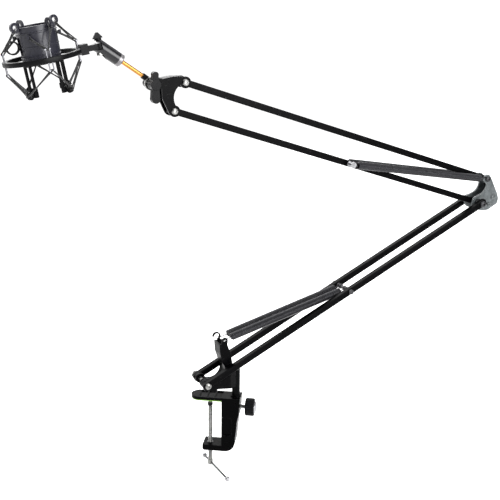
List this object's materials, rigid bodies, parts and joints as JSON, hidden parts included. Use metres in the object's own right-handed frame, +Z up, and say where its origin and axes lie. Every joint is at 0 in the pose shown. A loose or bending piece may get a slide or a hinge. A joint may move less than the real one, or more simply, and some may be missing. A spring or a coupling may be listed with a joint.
{
  "type": "microphone boom stand",
  "caption": "Table-clamp scissor arm with square tubes, balance springs, tilt head and an elastic shock mount that holds a microphone",
  "frame": {"origin": "on the clamp screw's axis, at the underside of the table pad, where the table's top surface meets it", "axes": "+Z up; the arms lie in one upright plane parallel to X, +X from the base towards the elbow; +Y points to the side behind the arms"},
  "size_m": [0.5371, 0.0693, 0.4658],
  "materials": {
    "black_paint": "satin black powder coat",
    "cast_black": "semi-gloss black enamel on a die casting",
    "worn_grey": "dark grey paint, rubbed",
    "pad_rubber": "soft pad, matte",
    "black_plastic": "moulded nylon, fine grain",
    "black_gloss": "glossy moulded plastic",
    "zinc_steel": "bright zinc plate",
    "chrome_trim": "polished",
    "brass_rod": "gold-coloured plating",
    "dark_steel": "black oxide",
    "bush_plastic": "natural acetal",
    "grip_rubber": "soft grip pads",
    "elastic": "woven elastic cord"
  },
  "bodies": {
    "clamp": {"clamp_body": "cast_black", "table_pad": "pad_rubber", "threaded_insert": "brass_rod", "socket_bush": "bush_plastic"},
    "pressure_pad": {"screw_pad": "black_plastic"},
    "clamp_screw_turn": {"clamp_screw": "zinc_steel"},
    "tommy": {"tommy_bar": "zinc_steel", "tommy_bar_balls": "chrome_trim"},
    "lock": {"lock_screw": "zinc_steel", "lock_knob": "black_plastic", "lock_knob_cap": "chrome_trim"},
    "base": {"base_bracket": "black_paint", "cable_hook": "black_paint", "pivot_post": "zinc_steel"},
    "lower_arm": {"lower_tube_front": "black_paint", "lower_tube_back": "black_paint", "lower_tube_plugs": "black_plastic", "spring_anchor_pin": "zinc_steel", "base_pivot_bolt": "zinc_steel", "base_pivot_nut": "zinc_steel", "base_spacers": "dark_steel"},
    "lower_spring_set": {"lower_springs": "dark_steel"},
    "lower_spring_ends": {"lower_spring_hooks": "zinc_steel"},
    "elbow": {"elbow_bracket": "worn_grey", "elbow_bolts": "zinc_steel", "elbow_nuts": "zinc_steel", "elbow_spacers": "dark_steel", "elbow_rivets": "worn_grey"},
    "top_bar": {"upper_tube_top": "black_paint", "top_tube_plugs": "black_plastic"},
    "bottom_bar": {"upper_tube_bottom": "black_paint", "bottom_tube_plugs": "black_plastic", "upper_spring_pin": "chrome_trim"},
    "upper_spring_set": {"upper_springs": "dark_steel"},
    "upper_spring_ends": {"upper_spring_hooks": "zinc_steel"},
    "head": {"head_bracket": "black_paint", "head_bolts": "zinc_steel", "head_nuts": "zinc_steel"},
    "tilt_lock": {"tilt_knob": "black_plastic", "tilt_bolt": "zinc_steel"},
    "tilt_arm": {"tilt_disc": "chrome_trim", "tilt_lug": "black_plastic", "tilt_rod": "brass_rod"},
    "barrel_turn": {"barrel": "black_gloss", "barrel_collar": "dark_steel", "wing_nut": "zinc_steel"},
    "wing": {"wing_screw": "black_plastic"},
    "shock_mount": {"mount_ring": "black_gloss", "ring_hooks": "zinc_steel", "mount_arm": "black_plastic", "elastic_upper": "elastic", "elastic_lower": "elastic"},
    "cradle": {"cradle_shell": "black_gloss", "cradle_legs": "black_plastic", "jaw_pin": "zinc_steel"},
    "front_jaw": {"jaw_front": "black_plastic", "jaw_pad_front": "grip_rubber"},
    "back_jaw": {"jaw_back": "black_plastic", "jaw_pad_back": "grip_rubber"}
  },
  "joints": [
    {"name": "screw_feed", "type": "slide", "parent": "clamp", "child": "pressure_pad", "axis": [0, 0, 1], "range_m": [-0.035, 0.0045]},
    {"name": "screw_turn", "type": "hinge", "parent": "pressure_pad", "child": "clamp_screw_turn", "pos_m": [0, 0, -0.03], "axis": [0, 0, 1], "range_deg": [-12602, 1622]},
    {"name": "tommy_slide", "type": "slide", "parent": "clamp_screw_turn", "child": "tommy", "axis": [0.0523, -0.9986, 0], "range_m": [-0.036, 0.008]},
    {"name": "lock_knob_turn", "type": "hinge", "parent": "clamp", "child": "lock", "pos_m": [0.02315, -0.01447, -0.0076], "axis": [0.848, -0.5299, 0], "range_deg": [0, 540]},
    {"name": "base_swivel", "type": "hinge", "parent": "clamp", "child": "base", "pos_m": [0.02315, -0.01447, 0.02], "axis": [0, 0, 1], "continuous": true},
    {"name": "lower_arm_lift", "type": "hinge", "parent": "base", "child": "lower_arm", "pos_m": [-0.01455, -0.01447, 0.0281], "axis": [0, -1, 0], "range_deg": [-15, 50]},
    {"name": "lower_spring_swing", "type": "hinge", "parent": "base", "child": "lower_spring_set", "pos_m": [0.00755, -0.01447, 0.0705], "axis": [0, -1, 0], "range_deg": [-19.06, 63.51]},
    {"name": "lower_spring_stretch", "type": "slide", "parent": "lower_spring_set", "child": "lower_spring_ends", "axis": [0.9657, 0, 0.2597], "range_m": [-0.0182, 0.0055], "deforming": ["lower_springs", "lower_spring_hooks"]},
    {"name": "elbow_bend", "type": "hinge", "parent": "lower_arm", "child": "elbow", "pos_m": [0.31177, -0.01447, 0.18938], "axis": [0, 1, 0], "range_deg": [-20, 60]},
    {"name": "upper_arm_lift", "type": "hinge", "parent": "elbow", "child": "top_bar", "pos_m": [0.32267, -0.01447, 0.21528], "axis": [0, -1, 0], "range_deg": [-35, 25]},
    {"name": "bottom_bar_swing", "type": "hinge", "parent": "elbow", "child": "bottom_bar", "pos_m": [0.31177, -0.01447, 0.18938], "axis": [0, -1, 0], "range_deg": [-35.01, 25.01]},
    {"name": "upper_spring_swing", "type": "hinge", "parent": "elbow", "child": "upper_spring_set", "pos_m": [0.32267, -0.01447, 0.21528], "axis": [0, -1, 0], "range_deg": [-33.96, 24.26]},
    {"name": "upper_spring_stretch", "type": "slide", "parent": "upper_spring_set", "child": "upper_spring_ends", "axis": [-0.9884, 0, 0.1519], "range_m": [-0.0166, 0.0119], "deforming": ["upper_springs", "upper_spring_hooks"]},
    {"name": "head_level", "type": "hinge", "parent": "top_bar", "child": "head", "pos_m": [-0.03285, -0.01447, 0.32943], "axis": [0, -1, 0], "range_deg": [-25.01, 35.01]},
    {"name": "tilt_knob_turn", "type": "hinge", "parent": "head", "child": "tilt_lock", "pos_m": [-0.06525, -0.01447, 0.32882], "axis": [0, -1, 0], "range_deg": [0, 540]},
    {"name": "head_tilt", "type": "hinge", "parent": "head", "child": "tilt_arm", "pos_m": [-0.06525, -0.01447, 0.32882], "axis": [0, 1, 0], "range_deg": [-60, 60]},
    {"name": "barrel_spin", "type": "hinge", "parent": "tilt_arm", "child": "barrel_turn", "pos_m": [-0.08889, -0.01447, 0.34742], "axis": [-0.829, 0, 0.5592], "continuous": true},
    {"name": "mount_swing", "type": "hinge", "parent": "barrel_turn", "child": "shock_mount", "pos_m": [-0.11078, -0.01447, 0.36219], "axis": [-0.1822, 0, 0.9833], "range_deg": [-50, 50]},
    {"name": "wing_screw_turn", "type": "hinge", "parent": "barrel_turn", "child": "wing", "pos_m": [-0.11078, -0.01447, 0.36219], "axis": [-0.1822, 0, 0.9833], "range_deg": [0, 540]},
    {"name": "cradle_float", "type": "slide", "parent": "shock_mount", "child": "cradle", "axis": [-0.1822, 0, 0.9833], "range_m": [-0.004, 0.004], "stiffness_N_per_m": 1500, "deforming": ["elastic_upper", "elastic_lower"]},
    {"name": "back_jaw_open", "type": "hinge", "parent": "cradle", "child": "back_jaw", "pos_m": [-0.17737, -0.01447, 0.36205], "axis": [-0.1822, 0, 0.9833], "range_deg": [0, 5], "stiffness_Nm_per_rad": 0.6, "springref_deg": -8.59},
    {"name": "front_jaw_open", "type": "hinge", "parent": "cradle", "child": "front_jaw", "pos_m": [-0.17737, -0.01447, 0.36205], "axis": [-0.1822, 0, 0.9833], "range_deg": [-5.01, 0.01]}
  ],
  "couplings": [
    {"joint": "screw_turn", "follows": "screw_feed", "rad_per_m": 6283.2},
    {"joint": "lower_spring_swing", "follows": "lower_arm_lift", "ratio": 1.27},
    {"joint": "lower_spring_stretch", "follows": "lower_arm_lift", "m_per_rad": -0.020626},
    {"joint": "bottom_bar_swing", "follows": "upper_arm_lift", "ratio": 1},
    {"joint": "upper_spring_swing", "follows": "upper_arm_lift", "ratio": 0.97},
    {"joint": "upper_spring_stretch", "follows": "upper_arm_lift", "m_per_rad": 0.026929},
    {"joint": "head_level", "follows": "upper_arm_lift", "ratio": -1},
    {"joint": "front_jaw_open", "follows": "back_jaw_open", "ratio": -1}
  ]
}
